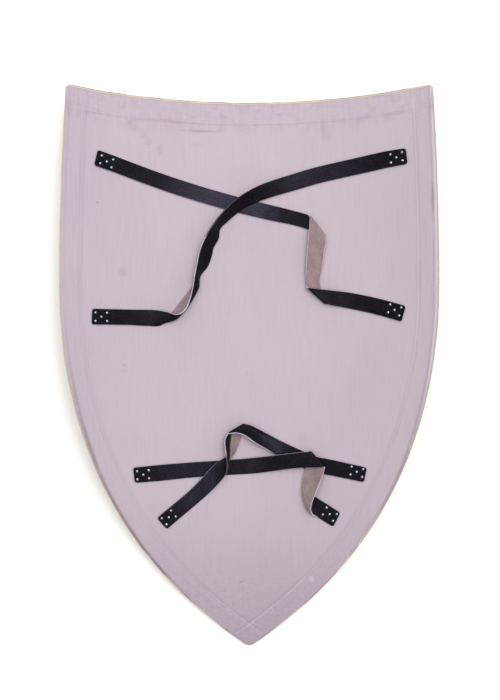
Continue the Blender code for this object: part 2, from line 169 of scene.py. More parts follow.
# From the upper right nails, over the first strap, round on its edge and down to the left.
UPPER_RIGHT_ROUTE = (
    ((251, 316, LIE), (248, 340, LIE), LEVEL),
    ((211, 313, LIE), (206, 338, LIE), LEVEL),
    ((118, 300, LIE), (112, 325, LIE), LEVEL),
    ((76, 290, LIE), (69, 314, 5), LEVEL),
    ((38, 280, 3), (29, 301, 11), LEVEL),
    ((12, 271, 5), (2, 288, 18), LEVEL),
    ((-11, 260, 5), (-25, 270, 21), LEVEL),
    ((-37, 239, 5), (-50, 245, 23), LEVEL),
    ((-47, 228, 4), (-59, 233, 23), LEVEL),
    ((-49, 214, 2), (-69, 218, 21), LEVEL),
    ((-57, 199, LIE), (-77, 203, 18), LEVEL),
    ((-60, 186, LIE), (-82, 188, 17), LEVEL),
    ((-66, 170, LIE), (-86, 170, 18), LEVEL),
    ((-75, 159, LIE), (-89, 156, 18), LEVEL),
    ((-88, 141, LIE), (-92, 137, 18), (9, -2, -1)),
    ((-105, 120, LIE), (-97, 117, 17), (8, -3, -2)),
    ((-118, 103, LIE), (-104, 101, 16), (4, -4, -2)),
    ((-128, 91, LIE), (-117, 93, 17), (0, -8, -2)),
    ((-141, 77, LIE), (-133, 97, 11), (0, -3, 1)),
    ((-161, 75, LIE), (-153, 100, 4), LEVEL),
    ((-189, 76, LIE), (-186, 100, LIE), LEVEL),
    ((-251, 76, LIE), (-250, 100, LIE), LEVEL),
)

# From the lower left nails, over the fourth strap, folded under, and curled round to the right.
LOWER_LEFT_ROUTE = (
    ((-185, -142, LIE), (-182, -166, LIE), LEVEL),
    ((-142, -140, LIE), (-138, -165, LIE), LEVEL),
    ((-94, -138, LIE), (-92, -162, LIE), LEVEL),
    ((-28, -135, LIE), (-26, -159, LIE), LEVEL),
    ((5, -132, 3), (7, -157, 2.5), LEVEL),
    ((36, -128, 8), (39, -152, 7), LEVEL),
    ((69, -123, 12), (74, -146.5, 11), LEVEL),
    *fold((97, -122, 12.5), (120, -144.5, 14), (-6, -4), (1, 0.08), (-0.25, -0.97)),
    ((93, -138, 6), (118, -158, 12), (0, 0, -2)),
    ((86, -158, 5), (113.5, -169, 13), (0, 0, -4)),
    ((84, -173, 6), (108.5, -182, 16), (0, 0, -2)),
    ((84, -181, 7), (104, -193, 18), (-2, 0, -1)),
    ((86, -187, 8), (101, -203, 17), (-3, -1, 0)),
    ((88, -190, 7), (100, -211, 15), (-4, -3, 0)),
    ((91, -191, 4), (102, -218, 10), (-4, -4, -1)),
    ((97, -190, LIE), (106, -222, 4), (-2, -2, 0)),
    ((104, -191, LIE), (111, -225, LIE), LEVEL),
    ((113, -196, LIE), (118, -229, LIE), LEVEL),
    ((145, -214, LIE), (133, -237, LIE), LEVEL),
)

# From the lowest left nails, up over the third strap, curled round, and under it to the right.
LOWER_RIGHT_ROUTE = (
    ((-147, -222, LIE), (-131, -241, LIE), LEVEL),
    ((-123, -204, LIE), (-108, -223, LIE), LEVEL),
    ((-94, -181, LIE), (-80, -201, LIE), LEVEL),
    ((-74, -161, 5), (-59, -182, 5), LEVEL),
    ((-57, -143, 6), (-46, -168, 8), LEVEL),
    ((-42, -133, 5.5), (-38, -157, 13), LEVEL),
    ((-34, -130, 5), (-36, -143, 20), LEVEL),
    ((-27, -128, 3), (-38, -128, 23), (3, 0, -1)),
    ((-20, -118, LIE), (-40, -113, 20), (3, 0, -3)),
    ((-14, -103, LIE), (-40, -102, 17), (3, 0, -3)),
    *fold((-8, -81, 2.5), (-34, -93.5, 15), (6, 4), (0.2, 0.98), (0.95, -0.3)),
    ((0, -79.5, 8), (-20, -91.5, 18.5), (0, 0, -2)),
    ((9, -83, 7), (-7, -96, 17), (0, 0, -4)),
    ((25, -91.5, 4), (11, -108.5, 14), (0, 0, -4)),
    ((44, -102, LIE), (31, -120, 9), CUPPED),
    ((62, -110.5, LIE), (52, -133, LIE), LEVEL),
    ((83, -119.5, LIE), (76, -143.5, LIE), LEVEL),
    ((102, -127.5, LIE), (97, -152, LIE), LEVEL),
    ((128, -132, LIE), (123, -156.5, LIE), LEVEL),
    ((187, -142, LIE), (182, -165, LIE), LEVEL),
)

STRAP_ROUTES = {
    "strap_upper_left": UPPER_LEFT_ROUTE,
    "strap_upper_right": UPPER_RIGHT_ROUTE,
    "strap_lower_left": LOWER_LEFT_ROUTE,
    "strap_lower_right": LOWER_RIGHT_ROUTE,
}

# Stretches of a strap, from station to station. Here the flesh side is black beside an edge:
BLACK_FLESH_STATIONS = {"strap_lower_right": (6, 11.5)}

# Here the cut edges take the black dye, and how much:
DYED_EDGE_STATIONS = {
    "strap_upper_right": ((0, 9, 1),),
    "strap_lower_right": ((5, 6.9, 1),),
}

# Here the black side is lightened to a bluish grey, a painted sheen where the lamps would catch it, and how
# much:
SHEEN_STATIONS = {
    "strap_upper_left": ((2.5, 3.5, 0.85),),
    "strap_upper_right": ((1.8, 2.9, 0.3),),
    "strap_lower_left": ((1.4, 2.2, 0.2), (3.8, 4.2, 0.15)),
    "strap_lower_right": ((1.6, 3.4, 0.35), (17.4, 18.6, 0.4)),
}
EDGE_DYE_FADE = 0.5            # stations over which each stretch fades out
SHEEN_FADE = 0.8

# ---------------- worked out from the above
SHEATH = GAP + CANVAS_THICKNESS
AXIS_HEIGHT = BEND_RADIUS + BOARD_THICKNESS + SHEATH
LOWER_SIDE_RADIUS = ((WIDEST_Y - BOARD_TIP_Y) ** 2 + BOARD_HALF_WIDTH ** 2) / (2 * BOARD_HALF_WIDTH)


# ---------------- bending
def on_arc(u, y, lift):
    """The real place of a flat one."""
    angle = u / BEND_RADIUS
    radius = BEND_RADIUS - lift
    return Vector((radius * math.sin(angle), y, AXIS_HEIGHT - radius * math.cos(angle)))


# ---------------- the outline
def arc_between(centre, radius, start_angle, end_angle, count):
    """count + 1 points on an arc, both ends included."""
    angles = [start_angle + (end_angle - start_angle) * i / count for i in range(count + 1)]
    return [Vector((centre[0] + radius * math.cos(a), centre[1] + radius * math.sin(a))) for a in angles]


def fillet(corner, towards_a, towards_b, radius, count):
    """Points that round a corner between two straight directions, from side a to side b."""
    half = towards_a.angle(towards_b) / 2
    centre = corner + (towards_a + towards_b).normalized() * (radius / math.sin(half))
    start = corner + towards_a * (radius / math.tan(half)) - centre
    end = corner + towards_b * (radius / math.tan(half)) - centre
    start_angle = math.atan2(start.y, start.x)
    return arc_between(centre, radius, start_angle, start_angle + end.angle_signed(start), count)


def half_outline(side_inset, top_inset, corner_radius, tip_radius):
    """The right half of the outline, drawn in by an inset, from the middle of the top edge to the tip."""
    upper_centre = (BOARD_HALF_WIDTH - UPPER_SIDE_RADIUS, WIDEST_Y)
    lower_centre = (BOARD_HALF_WIDTH - LOWER_SIDE_RADIUS, WIDEST_Y)
    upper = UPPER_SIDE_RADIUS - side_inset
    lower = LOWER_SIDE_RADIUS - side_inset

    top_y = BOARD_TOP_Y - top_inset
    top_angle = math.asin((top_y - WIDEST_Y) / upper)
    corner = Vector((upper_centre[0] + upper * math.cos(top_angle), top_y))
    down_the_side = Vector((math.sin(top_angle), -math.cos(top_angle)))
    top_corner = fillet(corner, Vector((-1, 0)), down_the_side, corner_radius, TOP_CORNER_STEPS)
    top_edge = [Vector((top_corner[0].x * i / TOP_EDGE_STEPS, top_y)) for i in range(TOP_EDGE_STEPS)]

    tip_angle = math.acos(-lower_centre[0] / lower)
    tip = Vector((0, WIDEST_Y - lower * math.sin(tip_angle)))
    up_the_right = Vector((math.sin(tip_angle), math.cos(tip_angle)))
    up_the_left = Vector((-up_the_right.x, up_the_right.y))
    tip_round = fillet(tip, up_the_right, up_the_left, tip_radius, TIP_STEPS)[:TIP_STEPS // 2 + 1]

    start_angle = math.asin((top_corner[-1].y - WIDEST_Y) / upper)
    end_angle = math.asin((tip_round[0].y - WIDEST_Y) / lower)
    upper_side = arc_between(upper_centre, upper, start_angle, 0.0, UPPER_SIDE_STEPS)[1:]
    lower_side = arc_between(lower_centre, lower, 0.0, end_angle, LOWER_SIDE_STEPS)[1:-1]
    return top_edge + top_corner + upper_side + lower_side + tip_round


def outline(side_inset, top_inset, corner_radius, tip_radius):
    """A closed loop of (u, y) points."""
    right = half_outline(side_inset, top_inset, corner_radius, tip_radius)
    left = [Vector((-p.x, p.y)) for p in reversed(right[1:-1])]
    return right + left


def outer_loop(outset):
    return outline(-outset, -outset, TOP_CORNER_RADIUS + outset, TIP_RADIUS + outset)


def inset_from_side(u, y):
    """How far a flat place is in from the right side. The left side's is that of (-u, y)."""
    radius = UPPER_SIDE_RADIUS if y > WIDEST_Y else LOWER_SIDE_RADIUS
    return radius - math.hypot(u - (BOARD_HALF_WIDTH - radius), y - WIDEST_Y)


def insets(u, y):
    """How far a flat place is in from the right side, from the left side and from the top edge."""
    return inset_from_side(u, y), inset_from_side(-u, y), BOARD_TOP_Y - y


# ---------------- meshes and objects
def add_loop(bm, points, lift):
    return [bm.verts.new((p.x, p.y, lift)) for p in points]


def join_loops(bm, *loops):
    """A strip of faces from each closed loop of vertices to the next."""
    count = len(loops[0])
    for first, second in zip(loops, loops[1:]):
        for i in range(count):
            j = (i + 1) % count
            bm.faces.new((first[i], first[j], second[j], second[i]))


def smooth_mesh(name, bm, materials, sharp_angle):
    """Turn a bmesh into a mesh that is shaded smooth, but for edges above an angle in degrees."""
    mesh = bpy.data.meshes.new(name)
    bm.to_mesh(mesh)
    bm.free()
    for material in materials:
        mesh.materials.append(material)
    mesh.shade_smooth()
    mesh.set_sharp_from_angle(angle=math.radians(sharp_angle))
    return mesh


def add_object(name, data):
    made = bpy.data.objects.new(name, data)
    bpy.context.scene.collection.objects.link(made)
    return made


def clamped(value):
    return max(0.0, min(1.0, value))


def between(start, end, share):
    return start * (1 - share) + end * share


# ---------------- the board and its canvas
def rim_levels(outset, steps):
    """(outset, lift) pairs round the rim, from the back face to the front, at a distance from the board."""
    radius = BOARD_RIM_ROUND + outset
    levels = []
    for back, height in ((True, -BOARD_RIM_ROUND), (False, BOARD_RIM_ROUND - BOARD_THICKNESS)):
        for i in range(steps + 1):
            angle = math.pi / 2 * (i if back else steps - i) / steps
            out = -BOARD_RIM_ROUND + radius * math.sin(angle)
            rise = radius * math.cos(angle)
            levels.append((out, height + rise if back else height - rise))
    return levels


def rim_loops(bm, outset, steps):
    return [add_loop(bm, outer_loop(out), lift) for out, lift in rim_levels(outset, steps)]


def fill_with_grid(bm, loop):
    """Close a flat loop with small triangles, so that it can bend smoothly."""
    lift = loop[0].co.z
    points = [v.co.xy for v in loop]
    count_u = int(2 * BOARD_HALF_WIDTH / SURFACE_CELL)
    count_y = int((BOARD_TOP_Y - BOARD_TIP_Y) / SURFACE_CELL)
    for i in range(1, count_u):
        u = -BOARD_HALF_WIDTH + SURFACE_CELL * i
        for j in range(1, count_y):
            y = BOARD_TIP_Y + SURFACE_CELL * j
            if min(insets(u, y)) > GRID_CLEARANCE * SURFACE_CELL:
                points.append(Vector((u, y)))
    rim = [(i, (i + 1) % len(loop)) for i in range(len(loop))]
    inside_only, tolerance = 1, 1e-7
    places, _, triangles, origins, _, _ = delaunay_2d_cdt(points, rim, [], inside_only, tolerance)
    verts = []
    for place, origin in zip(places, origins):
        known = [i for i in origin if i < len(loop)]
        verts.append(loop[known[0]] if known else bm.verts.new((place.x, place.y, lift)))
    for triangle in triangles:
        bm.faces.new([verts[i] for i in triangle])


def rim_waves(u, y):
    """How far the canvas stands out or draws in at the rim, where its folds make it uneven, as a share."""
    waves = noise.noise(Vector((u * 28, y * 28, 3.3))) + 0.5 * noise.noise(Vector((u * 90, y * 90, 6.1)))
    return waves * RIM_WAVES * clamped(1 - min(insets(u, y)) / RIM_FADE)


def canvas_relief(u, y, lift):
    """Small waves in the turned-over canvas, and the step where one side of it lies over the other."""
    if lift < RELIEF_ABOVE:
        return 0.0
    right, left, top = insets(u, y)
    along = y if min(right, left) < top else u
    inset = min(right, left, top)
    waves = noise.noise(Vector((along * 30, inset * 90, 1.7))) * BAND_WAVES
    ripples = noise.noise(Vector((along * 9, inset * 260, 8.1))) * BAND_RIPPLES
    over_the_other = (
        clamped((BAND_WIDTH + OVERLAP_REACH - right) / OVERLAP_SLOPE)
        * clamped((BAND_WIDTH - left) / OVERLAP_SLOPE)
    )
    return (waves + ripples) * min(1.0, inset / RIM_FADE) + over_the_other * OVERLAP_HEIGHT


def finish_flat_mesh(name, bm, material, has_relief, sharp_angle):
    """Give a flat mesh its measures, add its relief, bend it and make an object of it."""
    bmesh.ops.recalc_face_normals(bm, faces=bm.faces[:])
    flat_map = bm.loops.layers.uv.new("flat")
    layers = [bm.verts.layers.float.new(key) for key in ("from_right", "from_left", "from_top", "lift")]
    for face in bm.faces:
        for loop in face.loops:
            loop[flat_map].uv = loop.vert.co.xy
    for vert in bm.verts:
        u, y, lift = vert.co
        for layer, measure in zip(layers, (*insets(u, y), lift)):
            vert[layer] = measure
        drawn = rim_waves(u, y) if has_relief else 0.0
        raised = canvas_relief(u, y, lift) if has_relief else 0.0
        vert.co = on_arc(u * (1 + drawn), y * (1 + drawn), lift + raised)
    return add_object(name, smooth_mesh(name, bm, [material], sharp_angle))


def make_board(material):
    bm = bmesh.new()
    loops = rim_loops(bm, 0.0, 1)
    join_loops(bm, *loops)
    fill_with_grid(bm, loops[0])
    fill_with_grid(bm, loops[-1])
    board = finish_flat_mesh("painted_board", bm, material, False, 30)
    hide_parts("board")
    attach(board, "root")


def make_canvas(material):
    """Canvas over the whole front, round the rim and turned over onto the back as a band."""
    bm = bmesh.new()
    outside = rim_loops(bm, SHEATH, 5)
    inside = rim_loops(bm, GAP, 1)
    band = []
    for i in range(1, BAND_STEPS + 1):
        share = i / BAND_STEPS
        points = outline(
            between(BOARD_RIM_ROUND, BAND_WIDTH, share),
            between(BOARD_RIM_ROUND, TOP_BAND_WIDTH, share),
            between(TOP_CORNER_RADIUS, WINDOW_CORNER_RADIUS, share),
            between(TIP_RADIUS, WINDOW_TIP_RADIUS, share),
        )
        height = BAND_EDGE[max(0, i - BAND_STEPS + len(BAND_EDGE) - 1)]
        band.append(add_loop(bm, points, SHEATH * height))
    window = outline(BAND_WIDTH + GAP, TOP_BAND_WIDTH + GAP, WINDOW_CORNER_RADIUS, WINDOW_TIP_RADIUS)
    foot = add_loop(bm, window, GAP)
    join_loops(bm, *outside)
    join_loops(bm, *inside)
    join_loops(bm, outside[0], *band, foot, inside[0])
    fill_with_grid(bm, outside[-1])
    fill_with_grid(bm, inside[-1])
    canvas = finish_flat_mesh("canvas", bm, material, True, 50)
    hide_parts("canvas_cover")
    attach(canvas, "root")


# ---------------- straps
GRAIN, FLESH, CUT_EDGE = range(3)      # a strap's materials, in the order of its slots


def spline(before, start, end, after, share):
    """A smooth curve through start and end, whose ends follow their neighbours."""
    span = (end - start).length
    lead_in = (end - before) * (span / max((end - before).length, 1e-9))
    lead_out = (after - start) * (span / max((after - start).length, 1e-9))
    s2, s3 = share * share, share * share * share
    return (start * (2 * s3 - 3 * s2 + 1) + lead_in * (s3 - 2 * s2 + share)
            + end * (3 * s2 - 2 * s3) + lead_out * (s3 - s2))


def strap_lines(route):
    """(left, right, bow, station, narrowing) for each row along a strap, as flat places.

    The two ends are cut with rounded corners: narrowing is the share that each edge is drawn in by.
    """
    tracks = [[Vector(station[k]) * MM for station in route] for k in range(3)]
    last = len(route) - 1

    def line(i, share, narrowing=0.0):
        flat = [spline(t[max(i - 1, 0)], t[i], t[i + 1], t[min(i + 2, last)], share) for t in tracks]
        return (*flat, i + share, narrowing)

    def span(i):
        return ((tracks[0][i + 1] + tracks[1][i + 1]) - (tracks[0][i] + tracks[1][i])).length / 2

    corner = []
    for i in range(CORNER_ROWS):
        angle = math.pi / 2 * i / CORNER_ROWS
        distance, inset = END_CORNER * (1 - math.cos(angle)), END_CORNER * (1 - math.sin(angle))
        corner.append((distance, inset / STRAP_WIDTH))

    lines = [line(0, distance / span(0), narrowing) for distance, narrowing in corner]
    for i in range(last):
        count = max(5, round(span(i) / ROW_SPACING))
        start = END_CORNER / span(0) if i == 0 else 0.0
        end = 1 - END_CORNER / span(i) if i == last - 1 else 1.0
        lines += [line(i, start + (end - start) * j / count) for j in range(count)]
    lines += [
        line(last - 1, 1 - distance / span(last - 1), narrowing)
        for distance, narrowing in [(END_CORNER, 0.0)] + corner[::-1]
    ]
    return lines


def nail_places(route, starts):
    """The flat places of the nails at a strap's two ends."""
    places = []
    for end, inner, start in ((route[0], route[1], starts[0]), (route[-1], route[-2], starts[1])):
        left, right = Vector(end[0][:2]), Vector(end[1][:2])
        middle = (left + right) / 2
        along = ((Vector(inner[0][:2]) + Vector(inner[1][:2])) / 2 - middle).normalized()
        across = Vector((-along.y, along.x))
        for distance, aside in NAIL_PATTERN:
            places.append((middle + along * (start[0] + distance) + across * (start[1] + aside)) * MM)
    return places


def strap_section():
    """(share across, share of half the thickness) round a strap, from its left edge over the grain side."""
    edge = [(0.0, 0.45), (0.008, 0.85), (0.024, 1.0)]
    margin = edge[-1][0]
    inner = [(margin + (1 - 2 * margin) * i / CELLS_ACROSS, 1.0) for i in range(1, CELLS_ACROSS)]
    grain = edge + inner + [(1 - v, h) for v, h in reversed(edge)]
    return grain + [(v, -h) for v, h in reversed(grain)]


def section_side(first_height, second_height):
    """Which side of the leather a face is, from the heights of its two lines in the section."""
    if abs(first_height - second_height) > 0.3:
        return CUT_EDGE
    return GRAIN if min(first_height, second_height) > 0 else FLESH


def worn_share(stretches, station, fade):
    """The strength of the given stretches along a strap, falling to 0 within fade stations of each."""
    shares = ((1 - max(start - station, station - end, 0) / fade) * most for start, end, most in stretches)
    return max((0.0, *shares))


def strap_place(line, across, nails):
    """The real place at a share of the way across a line of a strap, on its middle surface."""
    left, right, bow, _, narrowing = line
    v = narrowing + (1 - 2 * narrowing) * across
    flat = left.lerp(right, v) + bow * (4 * v * (1 - v))
    lift = max(flat.z, STRAP_LIE * MM)
    if flat.z < LYING_BELOW:
        for nail in nails:
            distance = math.hypot(flat.x - nail.x, flat.y - nail.y)
            if distance < DIMPLE_REACH:
                lift -= DIMPLE_DEPTH * math.exp(-(distance / DIMPLE_RADIUS) ** 2)
    return on_arc(flat.x, flat.y, lift)


def row_normals(rows, i):
    """The directions out of the grain side of a strap, at the places of its row i."""
    row, ahead, behind = rows[i], rows[min(i + 1, len(rows) - 1)], rows[max(i - 1, 0)]
    last = len(row) - 1
    return [
        (row[min(k + 1, last)] - row[max(k - 1, 0)]).cross(ahead[k] - behind[k]).normalized()
        for k in range(last + 1)
    ]


def lengths_along(rows):
    """How far each row of a strap is along its middle line."""
    middle = len(rows[0]) // 2
    lengths = [0.0]
    for row, following in zip(rows, rows[1:]):
        lengths.append(lengths[-1] + (following[middle] - row[middle]).length)
    return lengths


def make_strap(name, route, starts, materials):
    section = strap_section()
    count, half = len(section), len(section) // 2
    lines = strap_lines(route)
    nails = nail_places(route, starts)
    rows = [[strap_place(line, v, nails) for v, _ in section[:half]] for line in lines]
    along = lengths_along(rows)
    grain_shift = len(name) + route[0][0][0]     # no two straps show the same piece of leather
    black_start, black_end = BLACK_FLESH_STATIONS.get(name, (0, 0))

    bm = bmesh.new()
    strap_map = bm.loops.layers.uv.new("strap")
    flesh_black, edge_dyed, soil_and_sheen = [bm.verts.layers.float.new(key) for key in ("flesh_black", "edge_dyed", "soil_and_sheen")]
    rings = []
    for i, (row, line) in enumerate(zip(rows, lines)):
        normals = row_normals(rows, i)
        station = line[3]
        ring = []
        for k, (v, height) in enumerate(section):
            same = k if k < half else count - 1 - k
            vert = bm.verts.new(row[same] + normals[same] * (height * STRAP_THICKNESS / 2))
            vert[flesh_black] = v if black_start < station < black_end else 0.0
            vert[edge_dyed] = worn_share(DYED_EDGE_STATIONS.get(name, ()), station, EDGE_DYE_FADE)
            # Share of painted sheen that the black side gets at this station.
            vert[soil_and_sheen] = worn_share(SHEEN_STATIONS[name], station, SHEEN_FADE)
            ring.append(vert)
        rings.append(ring)
    for i in range(len(rings) - 1):
        for k in range(count):
            m = (k + 1) % count
            corners = ((i, k), (i, m), (i + 1, m), (i + 1, k))
            face = bm.faces.new([rings[row][point] for row, point in corners])
            face.material_index = section_side(section[k][1], section[m][1])
            for loop, (row, point) in zip(face.loops, corners):
                loop[strap_map].uv = (along[row] + grain_shift, section[point][0] * STRAP_WIDTH)
    for ring in (rings[0], rings[-1]):
        bm.faces.new(ring).material_index = CUT_EDGE
    bmesh.ops.recalc_face_normals(bm, faces=bm.faces[:])
    strap = add_object("leather_" + name, smooth_mesh(name, bm, materials, 35))
    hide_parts(name)
    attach(strap, "root")


# ---------------- nails
def nail_mesh(material, seed):
    """A nail with a domed head, slightly dented. The foot of its head is at height 0."""
    profile = [(NAIL_SHANK_RADIUS, -NAIL_SHANK_LENGTH), (NAIL_SHANK_RADIUS, 0.0), (NAIL_HEAD_RADIUS, 0.0)]
    for i in range(1, NAIL_DOME_STEPS + 1):
        angle = math.pi / 2 * i / NAIL_DOME_STEPS
        profile.append((NAIL_HEAD_RADIUS * math.cos(angle), NAIL_HEAD_HEIGHT * math.sin(angle)))
    bm = bmesh.new()
    rings = []
    for radius, height in profile:
        ring = []
        for i in range(NAIL_SIDES):
            angle = 2 * math.pi * i / NAIL_SIDES
            x, y = math.cos(angle), math.sin(angle)
            dented = radius * (1 + NAIL_DENTS * noise.noise(Vector((x, y, seed))))
            ring.append(bm.verts.new((dented * x, dented * y, height)))
        rings.append(ring)
    join_loops(bm, *rings)
    bm.faces.new(rings[0])
    bmesh.ops.remove_doubles(bm, verts=rings[-1], dist=1e-5)
    bmesh.ops.recalc_face_normals(bm, faces=bm.faces[:])
    return smooth_mesh("nail", bm, [material], 50)


def make_nails(name, route, starts, meshes):
    seat = STRAP_LIE * MM + STRAP_THICKNESS / 2 - NAIL_SINK
    for i, flat in enumerate(nail_places(route, starts), start=1):
        foot = on_arc(flat.x, flat.y, seat)
        up = (on_arc(flat.x, flat.y, seat + 0.01) - foot).normalized()
        number = name.removeprefix("strap_") + "_" + str(i).zfill(2)
        head = add_object("nail_head_" + number, meshes[i % len(meshes)])
        head.matrix_world = (
            Matrix.Translation(foot) @ up.to_track_quat("Z", "Y").to_matrix().to_4x4()
            @ Matrix.Rotation(i * NAIL_TURN, 4, "Z")
        )
        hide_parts("nail_" + number)
        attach(head, "root")


# ---------------- materials
class Graph:
    """A material's node tree. Its methods add a node and give its output socket back."""

    def __init__(self, name):
        self.material = bpy.data.materials.new(name)
        self.material.use_nodes = True
        self.tree = self.material.node_tree
        self.colour = None

    def node(self, kind, inputs, **settings):
        made = self.tree.nodes.new(kind)
        for key, value in settings.items():
            setattr(made, key, value)
        for key, value in inputs.items():
            self.plug(made.inputs[key], value)
        return made

    def plug(self, socket, value):
        if isinstance(value, bpy.types.NodeSocket):
            self.tree.links.new(value, socket)
        else:
            socket.default_value = value

    def shade(self, inputs):
        """Plug sockets or plain values into the material's own shader, and give the material back."""
        for key, value in inputs.items():
            self.plug(self.tree.nodes["Principled BSDF"].inputs[key], value)
        return self.material

    def attribute(self, name):
        return self.node("ShaderNodeAttribute", {}, attribute_name=name).outputs["Fac"]

    def map(self, name, scale):
        """A UV map's coordinates, scaled across and along."""
        source = self.node("ShaderNodeUVMap", {}, uv_map=name).outputs["UV"]
        return self.node("ShaderNodeMapping", {"Vector": source, "Scale": (*scale, 1)}).outputs["Vector"]

    def noise(self, place, detail, roughness, distortion=0.0, scale=1.0):
        return self.node("ShaderNodeTexNoise", {
            "Vector": place, "Scale": scale, "Detail": detail, "Roughness": roughness,
            "Distortion": distortion,
        }).outputs["Fac"]

    def cells(self, place, scale):
        return self.node("ShaderNodeTexVoronoi", {"Vector": place, "Scale": scale}).outputs["Distance"]

    def math(self, operation, first, second=0.0, third=0.0):
        return self.node("ShaderNodeMath", {0: first, 1: second, 2: third}, operation=operation).outputs[0]

    def plus(self, first, second):
        return self.math("ADD", first, second)

    def times(self, first, second, plus=None):
        """first times second, and plus a third where one is given."""
        if plus is None:
            return self.math("MULTIPLY", first, second)
        return self.math("MULTIPLY_ADD", first, second, plus)

    def ramp(self, value, low, high, to_low=0.0, to_high=1.0):
        """value's run from low to high, eased, onto to_low to to_high."""
        return self.node("ShaderNodeMapRange", {
            "Value": value, "From Min": low, "From Max": high, "To Min": to_low, "To Max": to_high,
        }, interpolation_type="SMOOTHSTEP").outputs["Result"]

    def line(self, value, at, half_width):
        """1 where value is at a place, falling to 0 within a half-width."""
        away = self.math("ABSOLUTE", self.math("SUBTRACT", value, at))
        return self.ramp(away, 0.0, half_width, 1.0, 0.0)

    def mix(self, share, first, second):
        return self.node("ShaderNodeMix", {0: share, 6: first, 7: second}, data_type="RGBA").outputs[2]

    def lay(self, tint, *shares):
        """Lay a tint over the colour so far, by a share or by the product of two."""
        self.colour = self.mix(self.times(*shares) if len(shares) > 1 else shares[0], self.colour, tint)

    def bump(self, height, distance, strength):
        inputs = {"Height": height, "Distance": distance, "Strength": strength}
        return self.node("ShaderNodeBump", inputs).outputs["Normal"]


def srgb(red, green, blue):
    """A colour given as 0-255 values on a screen, as the linear values that shaders take."""
    def linear(value):
        value /= 255
        return value / 12.92 if value <= 0.04045 else ((value + 0.055) / 1.055) ** 2.4
    return (linear(red), linear(green), linear(blue), 1.0)


# ---------------- the painted back and its canvas
PAINT_WARM = srgb(187, 174, 182)
PAINT_COOL = srgb(185, 172, 182)
# Darker paint for brush marks and streaks, also laid as painted shade towards the tip.
PAINT_GRIME_AND_SHADE = srgb(146, 131, 143)
PAINT_PALE = srgb(214, 204, 214)
PAINT_BLUE = srgb(146, 141, 168)
BARE_CANVAS = srgb(216, 199, 174)
BARE_CANVAS_DARK = srgb(186, 166, 143)
BARE_CANVAS_SOILED = srgb(150, 129, 116)
BROWN = srgb(112, 92, 86)
MAUVE = srgb(139, 122, 137)

PAINT_REACH = 0.0019           # how far the paint goes round the rim at the sides
TOP_PAINT_INSET = 0.0024       # where it stops short of the top edge
PAINT_END_BLUR = 0.0004

# Stains on the painted back, laid out flat: centre, half-sizes, turn, strength, colour. mm and radians.
STAINS = (
    ((-200, 157), (8.5, 8.5), 0, 0.20, MAUVE),
    ((-75, 382.5), (30, 2.6), 0.02, 0.30, BROWN),
    ((-120, 395), (60, 1), -0.03, 0.20, BROWN),
    ((-185, 380), (16, 7.5), -0.2, 0.15, MAUVE),
    ((-168, 369), (8, 6), -0.7, 0.14, MAUVE),
    ((-160, 360), (6, 7), -0.6, 0.17, MAUVE),
    ((-142, 350), (6, 8), 0, 0.17, MAUVE),
    ((-85, 360), (9, 3), 0, 0.16, MAUVE),
    ((116, 387), (4.5, 24), 0, 0.12, BROWN),
    ((122, 374), (8, 10), 0.2, 0.10, BROWN),
    ((-241, 260), (3, 1.6), -0.7, 0.45, BROWN),
    ((-197, 15), (1.8, 2.2), 0, 0.22, BROWN),
    ((-197, 6), (1.6, 1.8), 0, 0.18, BROWN),
    ((-12, -328), (4.5, 2.2), 0.5, 0.28, BROWN),
    ((99, -321), (4.5, 5.5), 0, 0.26, PAINT_PALE),
    ((-4, 2), (1.6, 5), 0, 0.20, MAUVE),
    ((291, 260), (3, 30), 0, 0.30, BROWN),
    ((290, 402), (3, 18), 0, 0.30, BROWN),
    ((-290, 402), (1.8, 14), 0.1, 0.26, BROWN),
)


class PaintedGraph(Graph):
    """The graph of a painted surface, with the measures and the slow noises that its layers share.

    (u, y, lift) is the flat place, and right, left, top and side (the nearer of right and left) are
    distances in from the rim. sway bends the lines of a layer a little, so that none is straight.
    """

    def __init__(self, name):
        super().__init__(name)
        self.flat = self.map("flat", (1, 1))
        axes = self.node("ShaderNodeSeparateXYZ", {0: self.flat}).outputs
        self.u, self.y, self.lift = axes["X"], axes["Y"], self.attribute("lift")
        self.right, self.left, self.top = map(self.attribute, ("from_right", "from_left", "from_top"))
        self.side = self.math("MINIMUM", self.right, self.left)
        self.wobble = self.patches((25, 25), 3, 0.6)
        self.soiled = self.patches((11, 11), 4, 0.55)
        self.sway = self.times(self.wobble, 0.006, plus=-0.003)
        edge = self.plus(self.side, self.times(self.sway, 0.4))
        self.in_band = self.ramp(edge, BAND_WIDTH - 0.003, BAND_WIDTH + 0.003, 1, 0)

    def patches(self, scale, detail, roughness, distortion=0.0):
        """Noise laid over the flat surface."""
        return self.noise(self.map("flat", scale), detail, roughness, distortion)

    def streaks(self, across, across_scale, along_scale):
        """Fine brush marks, drawn out along y."""
        place = self.node("ShaderNodeCombineXYZ", {
            "X": self.times(across, across_scale), "Y": self.times(self.y, along_scale),
        }).outputs[0]
        return self.noise(place, 4, 0.65)


def brushed_paint(g):
    """Lay the paint itself, and give the height of its brush marks and its roughness."""
    brushed = g.streaks(g.u, 330, 16)
    fine = g.patches((700, 420), 2, 0.6)
    broad = g.patches((9, 6), 3, 0.5)
    g.colour = g.mix(g.ramp(broad, 0.35, 0.65), PAINT_WARM, PAINT_COOL)
    g.lay(PAINT_GRIME_AND_SHADE, g.ramp(brushed, 0.4, 0.8, 0, 0.15))
    g.lay(PAINT_GRIME_AND_SHADE, g.ramp(fine, 0.35, 0.8, 0, 0.18))
    return g.plus(brushed, g.times(fine, 0.6)), g.ramp(broad, 0.2, 0.8, 0.62, 0.8)


